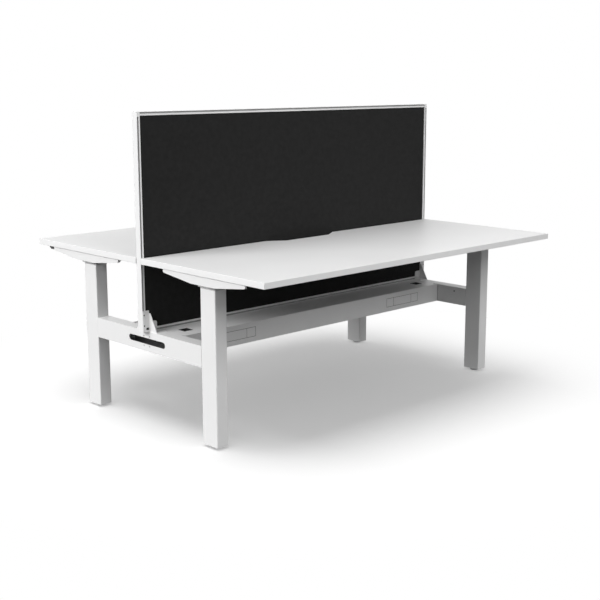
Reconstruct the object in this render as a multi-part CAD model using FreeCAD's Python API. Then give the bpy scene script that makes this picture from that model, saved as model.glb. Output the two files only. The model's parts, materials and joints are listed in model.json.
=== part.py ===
import FreeCAD, Part
import math
import os

# A back-to-back workstation: two sit-stand desks on one H-shaped steel frame, with a fabric screen
# between them. Millimetres. The origin is on the floor in the middle of the footprint, X runs along
# the worktops, the front desk lies on the -Y side and +Z is up. Both desks are fully lowered.

Vector = FreeCAD.Vector
X_AXIS = Vector(1, 0, 0)
Y_AXIS = Vector(0, 1, 0)
Z_AXIS = Vector(0, 0, 1)
ORIGIN = Vector(0, 0, 0)

# Worktops
worktop_length = 1800.0
worktop_depth = 750.0
worktop_thickness = 25.0
worktop_height = 720.0
worktop_edge_chamfer = 1.0
notch_mouth = 420.0
notch_floor = 270.0
notch_depth = 50.0
notch_radius = 18.0

# Screen
screen_end_inset = 2.0
screen_height = 900.0
screen_thickness = 30.0
screen_clearance = 3.0
frame_width = 20.0
frame_lip = 2.5
frame_groove = 8.5
frame_groove_depth = 6.0
frame_edge_radius = 0.8
panel_recess = 1.5
panel_fit = 0.2

# Columns
column_width = 58.0
column_depth = 90.0
column_wall = 2.0
column_corner_radius = 4.0
column_inset = 30.6
column_spacing = 811.4
column_floor_gap = 10.0
base_plate = 6.0

# Telescopic drive
lift_travel = 480.0
tube_gap = 2.0
inner_wall = 2.0
inner_corner = 1.5
inner_floor_gap = 22.0
collar_rim = 3.0
collar_height = 60.0
collar_clearance = 0.3
collar_to_head = 2.0
head_height = 12.0
head_step = 4.0
head_overhang = 13.0
head_front_reach = 20.0
spindle_diameter = 16.0
spindle_spare = 10.0
spindle_clearance = 0.3
nut_height = 40.0
nut_to_head = 14.0
push_tube_width = 26.0
push_tube_wall = 2.0
gearbox_length = 42.0
gearbox_width = 58.0
gearbox_arm_gap = 1.5
gearbox_top_gap = 1.5
gearbox_chamfer = 4.0
motor_diameter = 40.0
motor_length = 78.0

# Support arms under the worktops
arm_front_setback = 112.3
arm_rear_setback = 137.7
arm_flat = 145.0
arm_depth = 37.0
arm_end_depth = 15.0
arm_end_radius = 9.0
arm_wall = 3.0
arm_inset = 6.5
arm_lip = 14.0

# Rail between the two arms of a desk
rail_width = 40.0
rail_height = 25.0
rail_wall = 2.0
rail_offset = 130.0

# Levelling feet
foot_diameter = 42.0
foot_height = 7.0
foot_nut_flats = 19.0
stem_diameter = 10.0
stem_length = 25.0
stem_clearance = 0.3

# End beams
beam_top = 409.5
beam_height = 87.0
beam_wall = 3.0
beam_end_plate = 5.0
slot_length = 250.0
slot_height = 27.0
link_hole_diameter = 7.0
link_hole_pitch_y = 40.0
link_hole_pitch_z = 41.0
cover_sheet = 2.0
cover_gap = 0.3
cover_face_gap = 42.0
cover_recess = 4.0
cover_overlap = 20.0
cover_return = 14.0

# Cable tray
tray_width = 360.0
tray_sheet = 2.0
tray_lip = 15.0
tray_end_height = 50.0
divider_width = 60.0
lid_thickness = 3.0
lid_gap = 0.5
lid_corner = 26.0
grommet_length = 44.0
grommet_width = 42.0
grommet_flange = 3.0
grommet_rise = 1.5
grommet_wall = 2.0
grommet_skirt = 12.0
grommet_fit = 0.2
grommet_end_distance = 71.0
grommet_row = 97.0
knockout_end_distance = 271.4
knockout_height = 41.0
knockout_small = 50.0
knockout_large = 130.0
knockout_line = 1.2
knockout_line_depth = 1.0

# Brackets that stand the screen on the beams
bracket_sheet = 3.0
bracket_height = 90.0
bracket_inner_height = 43.0
bracket_inner_length = 39.0
bracket_edge_gap = 1.0
bracket_gusset_inset = 31.0
bracket_gusset_height = 78.0
bracket_gusset_top = 10.0
bracket_base = 52.0
bracket_corner = 9.0
bracket_hole_diameter = 6.5
bracket_hole_low = 27.0
bracket_hole_pitch = 45.0
bracket_slot_length = 14.0
bracket_slot_height = 10.0
bracket_slot_low = 8.0
bracket_slot_edge = 1.0

# Control boxes
box_length = 240.0
box_width = 105.0
box_height = 38.0
box_chamfer = 4.0
box_x = -240.0
box_rail_gap = 8.0
box_ear_length = 16.0
box_ear_thickness = 4.0
socket_width = 16.0
socket_height = 12.0
socket_depth = 10.0
socket_pitch = 26.0
socket_count = 3
inlet_width = 27.0
inlet_height = 20.0
inlet_offset = 82.0

# Handsets
handset_length = 100.0
handset_depth = 44.0
handset_height = 16.0
handset_nose = 9.0
handset_slope_depth = 12.0
handset_radius = 2.0
handset_end_inset = 15.0
handset_setback = 62.0
button_length = 26.0
button_height = 6.0
button_depth = 5.0
button_proud = 1.6
button_gap = 0.3
button_spacing = 34.0
button_travel = 1.2

# Levels and planes that follow from the sizes above
worktop_underside = worktop_height - worktop_thickness
arm_underside = worktop_underside - arm_depth
head_underside = arm_underside - head_height
collar_top = head_underside - collar_to_head
tube_top = collar_top - collar_rim
beam_underside = beam_top - beam_height
beam_middle = beam_top - beam_height / 2
half_top = worktop_length / 2
screen_length = worktop_length - 2 * screen_end_inset
screen_face = screen_thickness / 2
worktop_rear = screen_face + screen_clearance
worktop_front = worktop_rear + worktop_depth
column_outer = half_top - column_inset
column_inner = column_outer - column_width
column_x = column_outer - column_width / 2
column_y = column_spacing / 2
arm_outer = half_top - arm_inset
arm_front_reach = worktop_front - arm_front_setback - column_y
arm_rear_reach = column_y - worktop_rear - arm_rear_setback
rail_y = column_y - rail_offset
beam_half = column_y - column_depth / 2
inner_width = column_width - 2 * (column_wall + tube_gap)
inner_depth = column_depth - 2 * (column_wall + tube_gap)
inner_bottom = column_floor_gap + base_plate + inner_floor_gap
tray_half = tray_width / 2
lid_top = beam_top
lid_underside = lid_top - lid_thickness


def box(x0, x1, y0, y1, z0, z1):
    """A block between two corners."""
    return Part.makeBox(x1 - x0, y1 - y0, z1 - z0, Vector(x0, y0, z0))


def edges_along(shape, axis):
    """The straight edges that run along one axis."""
    found = []
    for edge in shape.Edges:
        if edge.Curve.TypeId == "Part::GeomLine":
            if abs(edge.tangentAt(edge.FirstParameter).dot(axis)) > 0.999:
                found.append(edge)
    return found


def bar(width, depth, z0, z1, radius):
    """An upright bar of rounded rectangular section on the Z axis."""
    block = box(-width / 2, width / 2, -depth / 2, depth / 2, z0, z1)
    return block.makeFillet(radius, edges_along(block, Z_AXIS))


def cut_bar(width, depth, z0, z1, cut):
    """An upright rectangular bar with its corners cut off."""
    block = box(-width / 2, width / 2, -depth / 2, depth / 2, z0, z1)
    return block.makeChamfer(cut, edges_along(block, Z_AXIS))


def rod(diameter, z0, z1):
    """An upright round bar on the Z axis."""
    return Part.makeCylinder(diameter / 2, z1 - z0, Vector(0, 0, z0), Z_AXIS)


def drilled(diameter, depth, start, axis):
    """A round hole, as the core that comes out of it."""
    return Part.makeCylinder(diameter / 2, depth, start, axis)


def prism(points, direction):
    """A polygon, given by its corners, pushed along a direction."""
    outline = Part.makePolygon(points + [points[0]])
    return Part.Face(outline).extrude(direction)


def folded(path, sheet, place, direction):
    """A sheet folded along a path of (u, v) corners, on the path's left, and pushed along a direction."""
    ways = []
    for (u0, v0), (u1, v1) in zip(path, path[1:]):
        length = math.hypot(u1 - u0, v1 - v0)
        ways.append(((v0 - v1) / length, (u1 - u0) / length))
    inner = []
    for (u, v), before, after in zip(path, ways[:1] + ways, ways + ways[-1:]):
        reach = sheet / (1 + before[0] * after[0] + before[1] * after[1])
        inner.append((u + reach * (before[0] + after[0]), v + reach * (before[1] + after[1])))
    return prism([place(u, v) for u, v in path + inner[::-1]], direction)


def turned(shape):
    """The same piece at the far end of the object, half a turn about Z."""
    copy = shape.copy()
    copy.rotate(ORIGIN, Z_AXIS, 180)
    return copy


def mirrored(shape, normal):
    """The opposite-handed piece across the middle plane."""
    return shape.mirror(ORIGIN, normal)


def at_column(shape, side, desk):
    """A piece made on the Z axis for a left column, placed on any of the four columns."""
    copy = shape.copy()
    if side > 0:
        copy.rotate(ORIGIN, Z_AXIS, 180)
    copy.translate(Vector(side * column_x, desk * column_y, 0))
    return copy


def save(name, *solids):
    """Write one sub-part; several solids only where like pieces share a node."""
    shape = solids[0] if len(solids) == 1 else Part.makeCompound(list(solids))
    shape.exportStep("parts/" + name + ".step")


def worktop():
    """Front worktop: a laminated board with a cable notch in its rear edge and softened edges."""
    board = box(-half_top, half_top, -worktop_front, -worktop_rear, worktop_underside, worktop_height)
    floor_y = -worktop_rear - notch_depth
    mouth, floor = notch_mouth / 2, notch_floor / 2
    outline = ((-mouth, -worktop_rear), (-floor, floor_y), (floor, floor_y), (mouth, -worktop_rear))
    notch = prism([Vector(x, y, worktop_underside) for x, y in outline], Vector(0, 0, worktop_thickness))
    board = board.cut(notch)
    bends = [e for e in edges_along(board, Z_AXIS) if abs(e.CenterOfMass.x) < (mouth + half_top) / 2]
    board = board.makeFillet(notch_radius, bends)
    rims = [e for e in board.Edges
            if min(abs(e.CenterOfMass.z - worktop_height), abs(e.CenterOfMass.z - worktop_underside)) < 1e-6]
    return board.makeChamfer(worktop_edge_chamfer, rims)


def arm_outline(inset):
    """The boat-shaped side of a support arm, drawn at the plane X = 0 and drawn in by a wall."""
    front, rear = -arm_front_reach + inset, arm_rear_reach - inset
    flat = arm_flat / 2 - inset / 2
    end_z = worktop_underside - arm_end_depth + inset
    low_z = arm_underside + inset
    points = [Vector(0, front, worktop_underside), Vector(0, front, end_z), Vector(0, -flat, low_z),
              Vector(0, flat, low_z), Vector(0, rear, end_z), Vector(0, rear, worktop_underside)]
    return points, end_z


def support_arm():
    """Front left arm: a pressed steel pan, open towards the worktop, with lips for the worktop screws."""
    width = arm_outer - column_inner
    points, end_z = arm_outline(0)
    pan = prism(points, Vector(width, 0, 0))
    heels = [e for e in edges_along(pan, X_AXIS) if abs(e.CenterOfMass.z - end_z) < 1e-6]
    pan = pan.makeFillet(arm_end_radius, heels)
    points, end_z = arm_outline(arm_wall)
    hollow = prism(points, Vector(width - 2 * arm_wall, 0, 0))
    heels = [e for e in edges_along(hollow, X_AXIS) if abs(e.CenterOfMass.z - end_z) < 1e-6]
    hollow = hollow.makeFillet(arm_end_radius - arm_wall, heels)
    hollow.translate(Vector(arm_wall, 0, 0))
    pan = pan.cut(hollow)
    lip_y0, lip_y1 = -arm_front_reach + arm_wall, arm_rear_reach - arm_wall
    lip_low = worktop_underside - arm_wall
    for x0 in (arm_wall, width - arm_wall - arm_lip):
        pan = pan.fuse(box(x0, x0 + arm_lip, lip_y0, lip_y1, lip_low, worktop_underside))
    pan = pan.removeSplitter()
    pan.translate(Vector(-arm_outer, -column_y, 0))
    return pan


def worktop_rail():
    """Front rail: a rectangular tube between the inner walls of the two arms, under the worktop."""
    half, low = rail_width / 2, worktop_underside - rail_height
    tube = box(-column_inner, column_inner, -rail_y - half, -rail_y + half, low, worktop_underside)
    bore = box(-column_inner, column_inner, -rail_y - half + rail_wall, -rail_y + half - rail_wall,
               low + rail_wall, worktop_underside - rail_wall)
    return tube.cut(bore)


def outer_tube():
    """Column outer tube with its welded base plate, which the levelling foot screws into."""
    tube = bar(column_width, column_depth, column_floor_gap, tube_top, column_corner_radius)
    plate_top = column_floor_gap + base_plate
    bore = cut_bar(column_width - 2 * column_wall, column_depth - 2 * column_wall, plate_top, tube_top,
                   column_corner_radius - column_wall)
    hole = rod(stem_diameter + 2 * stem_clearance, column_floor_gap, plate_top)
    return tube.cut([bore, hole])


def glide_collar():
    """Plastic guide in the mouth of the outer tube, with a rim that covers the cut edge."""
    low = tube_top - collar_height
    sleeve = cut_bar(column_width - 2 * column_wall, column_depth - 2 * column_wall, low, collar_top,
                     column_corner_radius - column_wall)
    rim = cut_bar(column_width, column_depth, tube_top, collar_top, column_corner_radius / 2)
    bore = box(-inner_width / 2 - collar_clearance, inner_width / 2 + collar_clearance,
               -inner_depth / 2 - collar_clearance, inner_depth / 2 + collar_clearance, low, collar_top)
    return sleeve.fuse(rim).cut(bore).removeSplitter()


def inner_tube():
    """Lifting tube that runs in the collar and carries the drive head."""
    tube = cut_bar(inner_width, inner_depth, inner_bottom, head_underside, inner_corner)
    bore = box(-inner_width / 2 + inner_wall, inner_width / 2 - inner_wall,
               -inner_depth / 2 + inner_wall, inner_depth / 2 - inner_wall, inner_bottom, head_underside)
    return tube.cut(bore)


def drive_head():
    """Cast head on the inner tube with its gearbox and motor, for a left column on the Z axis."""
    half_w, half_d = column_width / 2, column_depth / 2
    gear_x0 = half_w + gearbox_arm_gap
    gear_x1 = gear_x0 + gearbox_length
    foot = box(-half_w, gear_x0, -head_front_reach, half_d + head_overhang, head_underside, arm_underside)
    cap = box(-half_w, gear_x1, -half_d, half_d, head_underside + head_step, arm_underside)
    gear_top = worktop_underside - gearbox_top_gap
    gearbox = box(gear_x0, gear_x1, -gearbox_width / 2, gearbox_width / 2, head_underside, gear_top)
    gearbox = gearbox.makeChamfer(gearbox_chamfer, edges_along(gearbox, X_AXIS))
    motor_z = gear_top - motor_diameter / 2
    motor = Part.makeCylinder(motor_diameter / 2, motor_length, Vector(gear_x1, 0, motor_z), X_AXIS)
    return foot.fuse([cap, gearbox, motor]).removeSplitter()


def spindle():
    """Lead screw that hangs from the drive head down through the nut."""
    length = lift_travel + nut_to_head + nut_height + spindle_spare
    return rod(spindle_diameter, head_underside - length, head_underside)


def lift_nut():
    """Square nut on top of the push tube."""
    half, top = push_tube_width / 2, head_underside - nut_to_head
    nut = box(-half, half, -half, half, top - nut_height, top)
    return nut.cut(rod(spindle_diameter + 2 * spindle_clearance, top - nut_height, top))


def push_tube():
    """Square tube that stands on the base plate and holds the nut up."""
    half, low = push_tube_width / 2, column_floor_gap + base_plate
    bore, top = half - push_tube_wall, head_underside - nut_to_head - nut_height
    return box(-half, half, -half, half, low, top).cut(box(-bore, bore, -bore, bore, low, top))


def levelling_foot():
    """Round glide on a threaded stem, screwed in until its nut meets the column's base plate."""
    rim, stem, top = foot_diameter / 2, stem_diameter / 2, column_floor_gap + stem_length
    outline = ((0, 0), (rim, 0), (rim, foot_height), (stem, foot_height), (stem, top), (0, top))
    half_profile = Part.makePolygon([Vector(r, 0, z) for r, z in outline + outline[:1]])
    foot = Part.Face(half_profile).revolve(ORIGIN, Z_AXIS, 360)
    corner = foot_nut_flats / 2 / math.cos(math.pi / 6)
    turns = [n * math.pi / 3 for n in range(6)]
    nut = prism([Vector(corner * math.cos(a), corner * math.sin(a), foot_height) for a in turns],
                Vector(0, 0, column_floor_gap - foot_height))
    return foot.fuse(nut).removeSplitter()


def end_beam():
    """Left end beam: a folded channel open towards the tray, with end plates bolted to the columns."""
    path = [(-column_inner, beam_top), (-column_outer, beam_top),
            (-column_outer, beam_underside), (-column_inner, beam_underside)]
    beam = folded(path, beam_wall, lambda x, z: Vector(x, -beam_half, z), Vector(0, 2 * beam_half, 0))
    for y in (-beam_half, beam_half - beam_end_plate):
        beam = beam.fuse(box(-column_outer, -column_inner, y, y + beam_end_plate, beam_underside, beam_top))
    straight = slot_length - slot_height
    slot = box(-column_outer, -column_outer + beam_wall, -straight / 2, straight / 2,
               beam_middle - slot_height / 2, beam_middle + slot_height / 2)
    for y in (-straight / 2, straight / 2):
        slot = slot.fuse(drilled(slot_height, beam_wall, Vector(-column_outer, y, beam_middle), X_AXIS))
    beam = beam.removeSplitter().cut(slot.removeSplitter())
    for y in (-link_hole_pitch_y / 2, link_hole_pitch_y / 2):
        for z in (beam_middle - link_hole_pitch_z / 2, beam_middle + link_hole_pitch_z / 2):
            beam = beam.cut(drilled(link_hole_diameter, beam_wall, Vector(-column_outer, y, z), X_AXIS))
    return beam


def beam_cover():
    """Removable sheet that closes the left beam's inner side and steps back behind the tray's end."""
    y0 = -beam_half + beam_end_plate + cover_gap
    y1 = -tray_half - cover_face_gap
    z0 = beam_underside + beam_wall + cover_gap
    z1 = beam_top - beam_wall - cover_gap
    x0, x1 = -column_inner - cover_recess, -column_inner
    path = [(x1, y0), (x1, y1), (x0, y1), (x0, -tray_half + cover_overlap)]
    cover = folded(path, cover_sheet, lambda x, y: Vector(x, y, z0), Vector(0, 0, z1 - z0))
    flanges = [box(x1 - cover_return, x1, y0, y1, z, z + cover_sheet) for z in (z0, z1 - cover_sheet)]
    return cover.fuse(flanges).removeSplitter()


def knockout_lines():
    """Scored outlines of the outlet knock-outs on the front face of the tray."""
    half = knockout_large / 2 + knockout_small
    low, high = beam_middle - knockout_height / 2, beam_middle + knockout_height / 2
    line = knockout_line / 2
    y0, y1 = -tray_half, -tray_half + knockout_line_depth
    lines = []
    middle = column_inner - knockout_end_distance
    for group in (-middle, middle):
        for z in (low, high):
            lines.append(box(group - half - line, group + half + line, y0, y1, z - line, z + line))
        for x in (-half, -knockout_large / 2, knockout_large / 2, half):
            lines.append(box(group + x - line, group + x + line, y0, y1, low, high))
    return lines


def cable_tray():
    """Folded steel trough between the beams, with a T-shaped divider that carries lids and screen."""
    x0, x1 = -column_inner, column_inner
    inside = tray_half - tray_sheet
    lip_z = lid_underside - tray_sheet
    web, ledge = tray_sheet / 2, divider_width / 2
    path = [(-tray_half, beam_top), (-tray_half, beam_underside),
            (tray_half, beam_underside), (tray_half, beam_top)]
    trough = folded(path, tray_sheet, lambda y, z: Vector(x0, y, z), Vector(x1 - x0, 0, 0))
    divider = [box(x0, x1, -web, web, beam_underside, lip_z),
               box(x0, x1, -ledge, ledge, lip_z, lid_underside),
               box(x0, x1, -screen_face, screen_face, lid_underside, beam_top)]
    lips = [box(x0, x1, y, y + tray_lip, lip_z, lid_underside) for y in (-inside, inside - tray_lip)]
    end_top = beam_underside + tray_end_height
    ends = [box(x, x + tray_sheet, -inside, inside, beam_underside, end_top) for x in (x0, x1 - tray_sheet)]
    tray = trough.fuse(divider + lips + ends)
    lines = knockout_lines()
    lines += [turned(line) for line in lines]
    return tray.removeSplitter().cut(lines)


def grommet_places():
    """Centres of the two cable openings in the front lid."""
    x = column_inner - grommet_end_distance
    return (Vector(-x, -grommet_row, 0), Vector(x, -grommet_row, 0))


def tray_lid():
    """Front lid: a flat sheet between the screen and the tray's face, with openings for grommets."""
    x1 = column_inner - lid_gap
    y0, y1 = -tray_half + tray_sheet + lid_gap, -screen_face - lid_gap
    lid = prism([Vector(-x1, y1, lid_underside), Vector(-x1, y0 + lid_corner, lid_underside),
                 Vector(-x1 + lid_corner, y0, lid_underside), Vector(x1 - lid_corner, y0, lid_underside),
                 Vector(x1, y0 + lid_corner, lid_underside), Vector(x1, y1, lid_underside)],
                Vector(0, 0, lid_thickness))
    half_x, half_y = grommet_length / 2 - grommet_flange, grommet_width / 2 - grommet_flange
    for place in grommet_places():
        lid = lid.cut(box(place.x - half_x, place.x + half_x, place.y - half_y, place.y + half_y,
                          lid_underside, lid_top))
    return lid


def cable_grommet(place):
    """Black moulded frame that lines a cable opening in a lid."""
    flange = box(-grommet_length / 2, grommet_length / 2, -grommet_width / 2, grommet_width / 2,
                 lid_top, lid_top + grommet_rise)
    half_x = grommet_length / 2 - grommet_flange - grommet_fit
    half_y = grommet_width / 2 - grommet_flange - grommet_fit
    skirt_low = lid_underside - grommet_skirt
    skirt = box(-half_x, half_x, -half_y, half_y, skirt_low, lid_top)
    bore = box(-half_x + grommet_wall, half_x - grommet_wall, -half_y + grommet_wall, half_y - grommet_wall,
               skirt_low, lid_top + grommet_rise)
    grommet = flange.fuse(skirt).cut(bore).removeSplitter()
    grommet.translate(place)
    return grommet


def screen_stile():
    """Left stile: an aluminium bar, plain at its corners, with a fixing groove along each face."""
    x0, z0 = -screen_length / 2, beam_top
    z1 = z0 + screen_height
    bar_solid = box(x0, x0 + frame_width, -screen_face, screen_face, z0, z1)
    bar_solid = bar_solid.makeFillet(frame_edge_radius, [e for e in edges_along(bar_solid, Z_AXIS)
                                                         if e.CenterOfMass.x < x0 + frame_width / 2])
    g0 = x0 + frame_lip
    for y in (-screen_face, screen_face - frame_groove_depth):
        bar_solid = bar_solid.cut(box(g0, g0 + frame_groove, y, y + frame_groove_depth,
                                      z0 + frame_width, z1 - frame_width))
    return bar_solid


def screen_rail(top):
    """Top or bottom rail between the stiles, with the same groove along each face."""
    x1 = screen_length / 2 - frame_width
    z0 = beam_top + (screen_height - frame_width if top else 0)
    rail = box(-x1, x1, -screen_face, screen_face, z0, z0 + frame_width)
    g0 = z0 + (frame_width - frame_lip - frame_groove if top else frame_lip)
    for y in (-screen_face, screen_face - frame_groove_depth):
        rail = rail.cut(box(-x1, x1, y, y + frame_groove_depth, g0, g0 + frame_groove))
    return rail


def screen_panel():
    """Fabric covered board that fills the frame, a little behind the frame's faces."""
    x1 = screen_length / 2 - frame_width - panel_fit
    y1 = screen_face - panel_recess
    z0 = beam_top + frame_width + panel_fit
    z1 = beam_top + screen_height - frame_width - panel_fit
    return box(-x1, x1, -y1, y1, z0, z1)


def screen_bracket():
    """Front left bracket: a folded plate on the screen's face with a gusset and a foot on the beam."""
    x0 = -screen_length / 2 + bracket_edge_gap
    gusset_x = -screen_length / 2 + bracket_gusset_inset
    x1 = gusset_x + bracket_inner_length
    y0, y1 = -screen_face - bracket_sheet, -screen_face
    plate = box(x0, gusset_x, y0, y1, beam_top, beam_top + bracket_height)
    inner = box(gusset_x, x1, y0, y1, beam_top, beam_top + bracket_inner_height)
    corner = [e for e in edges_along(inner, Y_AXIS)
              if e.CenterOfMass.x > (gusset_x + x1) / 2 and e.CenterOfMass.z > beam_top]
    inner = inner.makeFillet(bracket_corner, corner)
    gusset_high = beam_top + bracket_gusset_height
    tip = y1 - bracket_base
    gusset = prism([Vector(gusset_x, y1, beam_top), Vector(gusset_x, y1, gusset_high),
                    Vector(gusset_x, y1 - bracket_gusset_top, gusset_high),
                    Vector(gusset_x, tip, beam_top + bracket_sheet), Vector(gusset_x, tip, beam_top)],
                   Vector(bracket_sheet, 0, 0))
    foot = box(gusset_x, -column_inner - beam_wall, tip, y1, beam_top, beam_top + bracket_sheet)
    bracket = plate.fuse([inner, gusset, foot]).removeSplitter()
    groove_x = -screen_length / 2 + frame_lip + frame_groove / 2
    for z in (beam_top + bracket_hole_low, beam_top + bracket_hole_low + bracket_hole_pitch):
        bracket = bracket.cut(drilled(bracket_hole_diameter, bracket_sheet, Vector(groove_x, y0, z), Y_AXIS))
    slot_z = beam_top + bracket_slot_low
    slot_x1 = gusset_x - bracket_slot_edge
    slot = box(slot_x1 - bracket_slot_length, slot_x1, y0, y1, slot_z, slot_z + bracket_slot_height)
    return bracket.cut(slot)


def control_box():
    """Front control box under the worktop, with sockets for the columns and a mains inlet."""
    y1 = -rail_y - rail_width / 2 - box_rail_gap
    y0 = y1 - box_width
    low = worktop_underside - box_height
    case = box(box_x - box_length / 2, box_x + box_length / 2, y0, y1, low, worktop_underside)
    softened = [e for e in edges_along(case, X_AXIS) if e.CenterOfMass.z < worktop_underside]
    case = case.makeChamfer(box_chamfer, softened)
    middle = low + box_height / 2
    for n in range(socket_count):
        x = box_x - box_length / 2 + socket_pitch * (n + 1)
        case = case.cut(box(x - socket_width / 2, x + socket_width / 2, y1 - socket_depth, y1,
                            middle - socket_height / 2, middle + socket_height / 2))
    x = box_x + inlet_offset
    case = case.cut(box(x - inlet_width / 2, x + inlet_width / 2, y1 - socket_depth, y1,
                        middle - inlet_height / 2, middle + inlet_height / 2))
    for end in (-1, 1):
        ear_x = box_x + end * (box_length + box_ear_length) / 2
        ear_low = worktop_underside - box_ear_thickness
        case = case.fuse(box(ear_x - box_ear_length / 2, ear_x + box_ear_length / 2, y0 + box_chamfer,
                             y1 - box_chamfer, ear_low, worktop_underside))
    return case.removeSplitter()


def handset_frame():
    """Corner of the front handset: its outer end, its face towards the user and its underside."""
    return half_top - handset_end_inset, -worktop_front + handset_setback, worktop_underside - handset_height


def button_box(place, gap):
    """Block of one button, or with a gap of the pocket that it runs in."""
    x1, face_y, low = handset_frame()
    x = x1 - handset_length / 2 + place * button_spacing / 2
    z = low + handset_height - handset_nose / 2
    return (x - button_length / 2 - gap, x + button_length / 2 + gap,
            z - button_height / 2 - gap, z + button_height / 2 + gap, face_y)


def handset():
    """Front handset: a moulded wedge screwed under the worktop near the user's right hand."""
    x1, face_y, low = handset_frame()
    x0, back_y = x1 - handset_length, face_y + handset_depth
    nose_z = worktop_underside - handset_nose
    case = prism([Vector(x0, face_y, worktop_underside), Vector(x0, face_y, nose_z),
                  Vector(x0, face_y + handset_slope_depth, low), Vector(x0, back_y, low),
                  Vector(x0, back_y, worktop_underside)], Vector(handset_length, 0, 0))
    rounded = [e for e in edges_along(case, X_AXIS) if e.CenterOfMass.z < worktop_underside]
    case = case.makeFillet(handset_radius, rounded)
    pocket = button_depth + button_travel + button_gap
    for place in (-1, 1):
        bx0, bx1, bz0, bz1, y = button_box(place, button_gap)
        case = case.cut(box(bx0, bx1, y, y + pocket - button_proud, bz0, bz1))
    return case


def handset_button(place):
    """One push button of the front handset."""
    x0, x1, z0, z1, y = button_box(place, 0)
    key = box(x0, x1, y - button_proud, y - button_proud + button_depth, z0, z1)
    front = [e for e in key.Edges if abs(e.CenterOfMass.y - (y - button_proud)) < 1e-6]
    return key.makeChamfer(button_proud / 2, front)


os.makedirs("parts", exist_ok=True)

# Pieces that each column has, on the left or right and on the front or rear desk
for desk, desk_name in ((-1, "front"), (1, "rear")):
    for side, side_name in ((-1, "left"), (1, "right")):
        name = desk_name + "_" + side_name
        save("outer_tube_" + name, at_column(outer_tube(), side, desk))
        save("inner_tube_" + name, at_column(inner_tube(), side, desk))
        save("drive_head_" + name, at_column(drive_head(), side, desk))
        save("spindle_" + name, at_column(spindle(), side, desk))
        save("push_tube_" + name, at_column(push_tube(), side, desk))
        save("levelling_foot_" + name, at_column(levelling_foot(), side, desk))

every_column = [(side, desk) for desk in (-1, 1) for side in (-1, 1)]
save("lift_nuts", *[at_column(lift_nut(), side, desk) for side, desk in every_column])
save("glide_collars", *[at_column(glide_collar(), side, desk) for side, desk in every_column])

# Pieces of one desk; the rear desk is the front desk turned half round
for desk_name, place in (("front", lambda shape: shape), ("rear", turned)):
    save("worktop_" + desk_name, place(worktop()))
    save("worktop_rail_" + desk_name, place(worktop_rail()))
    save("control_box_" + desk_name, place(control_box()))
    save("handset_" + desk_name, place(handset()))
    save("down_button_" + desk_name, place(handset_button(-1)))
    save("up_button_" + desk_name, place(handset_button(1)))
    save("tray_lid_" + desk_name, place(tray_lid()))
    save("cable_grommets_" + desk_name, *[place(cable_grommet(spot)) for spot in grommet_places()])

# Pieces at the four corners
for kind, piece in (("support_arm_", support_arm()), ("screen_bracket_", screen_bracket())):
    save(kind + "front_left", piece)
    save(kind + "front_right", mirrored(piece, X_AXIS))
    save(kind + "rear_left", mirrored(piece, Y_AXIS))
    save(kind + "rear_right", turned(piece))

# End frames
for side_name, place in (("left", lambda shape: shape), ("right", turned)):
    save("end_beam_" + side_name, place(end_beam()))
    cover = beam_cover()
    save("beam_covers_" + side_name, place(cover), place(mirrored(cover, Y_AXIS)))
    save("screen_stile_" + side_name, place(screen_stile()))

# Tray and screen
save("cable_tray", cable_tray())
save("screen_rail_top", screen_rail(True))
save("screen_rail_bottom", screen_rail(False))
save("screen_panel", screen_panel())
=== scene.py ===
import json
import math

import bpy
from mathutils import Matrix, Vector


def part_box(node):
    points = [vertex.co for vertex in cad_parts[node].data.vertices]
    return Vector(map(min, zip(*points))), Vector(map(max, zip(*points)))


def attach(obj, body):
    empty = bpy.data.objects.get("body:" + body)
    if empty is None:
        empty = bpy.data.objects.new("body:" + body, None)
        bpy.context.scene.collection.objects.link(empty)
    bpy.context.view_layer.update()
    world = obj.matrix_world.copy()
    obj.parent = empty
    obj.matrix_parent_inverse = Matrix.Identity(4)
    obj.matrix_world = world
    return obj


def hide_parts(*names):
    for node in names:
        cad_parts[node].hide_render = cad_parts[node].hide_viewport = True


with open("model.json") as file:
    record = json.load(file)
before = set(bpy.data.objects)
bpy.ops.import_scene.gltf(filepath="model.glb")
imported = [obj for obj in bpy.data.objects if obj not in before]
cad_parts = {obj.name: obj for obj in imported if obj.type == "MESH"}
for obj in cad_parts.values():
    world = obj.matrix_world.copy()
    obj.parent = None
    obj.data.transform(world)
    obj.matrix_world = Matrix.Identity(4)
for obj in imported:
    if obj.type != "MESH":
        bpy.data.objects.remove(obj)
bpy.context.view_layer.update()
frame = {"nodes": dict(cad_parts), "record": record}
bpy.ops.object.select_all(action="DESELECT")

# A back-to-back workstation: two electric sit-stand desks on one H-shaped steel frame, with a
# fabric screen between them. It is dressed in the order in which it is put together, feet first.

nodes = frame["nodes"]
members = frame["record"]["behaviour"]["bodies"]
body_of = {node: body for body, group in members.items() for node in group}
desks = ("front", "rear")
corners = [desk + "_" + side for desk in desks for side in ("left", "right")]


# Levelling feet: a moulded disc of pale nylon, pressed on a zinc plated screw with a hexagon to
# turn it by. The screw goes up into the welded base plate of the column.

def focus(piece):
    """Make one piece the only selected and active one, in object mode."""
    if bpy.context.object and bpy.context.object.mode != "OBJECT":
        bpy.ops.object.mode_set(mode="OBJECT")
    bpy.ops.object.select_all(action="DESELECT")
    piece.select_set(True)
    bpy.context.view_layer.objects.active = piece


def added(name):
    """Name the primitive just added and move its place into its mesh."""
    piece = bpy.context.object
    piece.name = name
    bpy.ops.object.transform_apply(location=True, rotation=True, scale=True)
    return piece


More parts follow.
